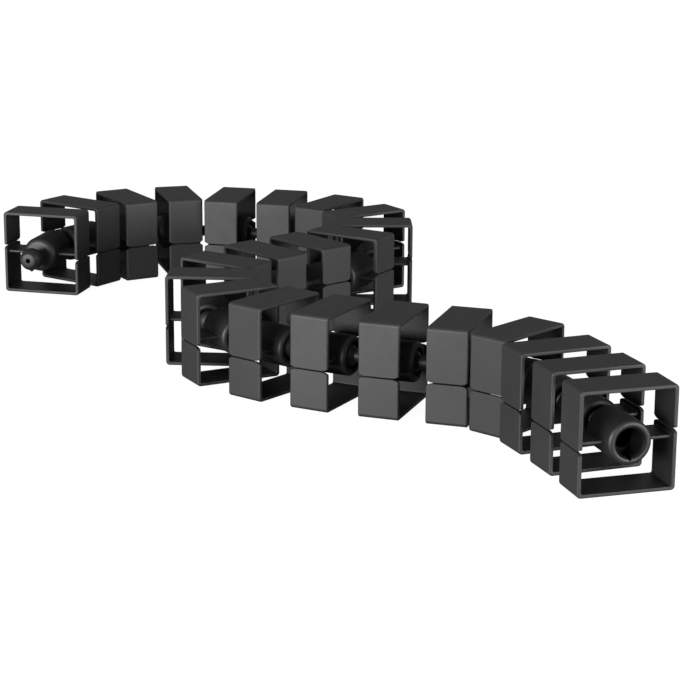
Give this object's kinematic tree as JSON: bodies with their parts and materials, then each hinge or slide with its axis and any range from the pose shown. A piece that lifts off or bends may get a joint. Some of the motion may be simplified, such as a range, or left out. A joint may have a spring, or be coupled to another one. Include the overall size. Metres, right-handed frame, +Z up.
{
  "type": "flexible cable duct",
  "caption": "Articulated black plastic cable duct: square open links snapped together by ball joints, each with an upper and a lower chamber that cables enter through side slits.",
  "frame": {"origin": "centre of the laid-out duct's bounding box, on the surface it lies on", "axes": "+Z up; +Y from the open socket end towards the back of the S, along its longest extent; +X to the right seen from the socket end"},
  "size_m": [0.4496, 0.6002, 0.0625],
  "materials": {
    "black_plastic": "satin moulded black plastic"
  },
  "bodies": {
    "link_01": {"link_01": "black_plastic"},
    "link_02": {"link_02": "black_plastic"},
    "link_03": {"link_03": "black_plastic"},
    "link_04": {"link_04": "black_plastic"},
    "link_05": {"link_05": "black_plastic"},
    "link_06": {"link_06": "black_plastic"},
    "link_07": {"link_07": "black_plastic"},
    "link_08": {"link_08": "black_plastic"},
    "link_09": {"link_09": "black_plastic"},
    "link_10": {"link_10": "black_plastic"},
    "link_11": {"link_11": "black_plastic"},
    "link_12": {"link_12": "black_plastic"},
    "link_13": {"link_13": "black_plastic"},
    "link_14": {"link_14": "black_plastic"},
    "link_15": {"link_15": "black_plastic"},
    "link_16": {"link_16": "black_plastic"},
    "link_17": {"link_17": "black_plastic"},
    "link_18": {"link_18": "black_plastic"},
    "link_19": {"link_19": "black_plastic"},
    "link_20": {"link_20": "black_plastic"},
    "link_21": {"link_21": "black_plastic"},
    "link_22": {"link_22": "black_plastic"},
    "link_23": {"link_23": "black_plastic"}
  },
  "joints": [
    {"name": "ball_01_02", "type": "hinge", "parent": "link_01", "child": "link_02", "pos_m": [0.18287, -0.24745, 0.03125], "axis": [0, 0, 1], "range_deg": [-36, 30]},
    {"name": "ball_02_03", "type": "hinge", "parent": "link_02", "child": "link_03", "pos_m": [0.16811, -0.20689, 0.03125], "axis": [0, 0, -1], "range_deg": [-31, 35]},
    {"name": "ball_03_04", "type": "hinge", "parent": "link_03", "child": "link_04", "pos_m": [0.15194, -0.16688, 0.03125], "axis": [0, 0, 1], "range_deg": [-59, 7]},
    {"name": "ball_04_05", "type": "hinge", "parent": "link_04", "child": "link_05", "pos_m": [0.11987, -0.138, 0.03125], "axis": [0, 0, -1], "range_deg": [-9, 57]},
    {"name": "ball_05_06", "type": "hinge", "parent": "link_05", "child": "link_06", "pos_m": [0.07883, -0.12467, 0.03125], "axis": [0, 0, 1], "range_deg": [-31, 35]},
    {"name": "ball_06_07", "type": "hinge", "parent": "link_06", "child": "link_07", "pos_m": [0.03828, -0.10991, 0.03125], "axis": [0, 0, -1], "range_deg": [-41, 25]},
    {"name": "ball_07_08", "type": "hinge", "parent": "link_07", "child": "link_08", "pos_m": [0.00017, -0.08965, 0.03125], "axis": [0, 0, 1], "range_deg": [-22, 44]},
    {"name": "ball_08_09", "type": "hinge", "parent": "link_08", "child": "link_09", "pos_m": [-0.03336, -0.06249, 0.03125], "axis": [0, 0, -1], "range_deg": [-56, 10]},
    {"name": "ball_09_10", "type": "hinge", "parent": "link_09", "child": "link_10", "pos_m": [-0.05362, -0.02439, 0.03125], "axis": [0, 0, 1], "range_deg": [-2, 64]},
    {"name": "ball_10_11", "type": "hinge", "parent": "link_10", "child": "link_11", "pos_m": [-0.05137, 0.01871, 0.03125], "axis": [0, 0, -1], "range_deg": [-64, 2]},
    {"name": "ball_11_12", "type": "hinge", "parent": "link_11", "child": "link_12", "pos_m": [-0.02723, 0.05449, 0.03125], "axis": [0, 0, 1], "range_deg": [-20, 46]},
    {"name": "ball_12_13", "type": "hinge", "parent": "link_12", "child": "link_13", "pos_m": [0.00433, 0.08392, 0.03125], "axis": [0, 0, -1], "range_deg": [-34, 32]},
    {"name": "ball_13_14", "type": "hinge", "parent": "link_13", "child": "link_14", "pos_m": [0.0364, 0.1128, 0.03125], "axis": [0, 0, 1], "range_deg": [-50, 16]},
    {"name": "ball_14_15", "type": "hinge", "parent": "link_14", "child": "link_15", "pos_m": [0.05862, 0.14979, 0.03125], "axis": [0, 0, -1], "range_deg": [-1, 65]},
    {"name": "ball_15_16", "type": "hinge", "parent": "link_15", "child": "link_16", "pos_m": [0.05787, 0.19294, 0.03125], "axis": [0, 0, 1], "range_deg": [-65, 1]},
    {"name": "ball_16_17", "type": "hinge", "parent": "link_16", "child": "link_17", "pos_m": [0.03437, 0.22913, 0.03125], "axis": [0, 0, -1], "range_deg": [-8, 58]},
    {"name": "ball_17_18", "type": "hinge", "parent": "link_17", "child": "link_18", "pos_m": [-0.00223, 0.252, 0.03125], "axis": [0, 0, 1], "range_deg": [-52, 14]},
    {"name": "ball_18_19", "type": "hinge", "parent": "link_18", "child": "link_19", "pos_m": [-0.04428, 0.26171, 0.03125], "axis": [0, 0, -1], "range_deg": [-32, 34]},
    {"name": "ball_19_20", "type": "hinge", "parent": "link_19", "child": "link_20", "pos_m": [-0.08649, 0.27068, 0.03125], "axis": [0, 0, 1], "range_deg": [-61, 5]},
    {"name": "ball_20_21", "type": "hinge", "parent": "link_20", "child": "link_21", "pos_m": [-0.12798, 0.25878, 0.03125], "axis": [0, 0, -1], "range_deg": [-19, 47]},
    {"name": "ball_21_22", "type": "hinge", "parent": "link_21", "child": "link_22", "pos_m": [-0.16535, 0.23721, 0.03125], "axis": [0, 0, 1], "range_deg": [-58, 8]},
    {"name": "ball_22_23", "type": "hinge", "parent": "link_22", "child": "link_23", "pos_m": [-0.1901, 0.20185, 0.03125], "axis": [0, 0, -1], "range_deg": [-12, 54]}
  ]
}
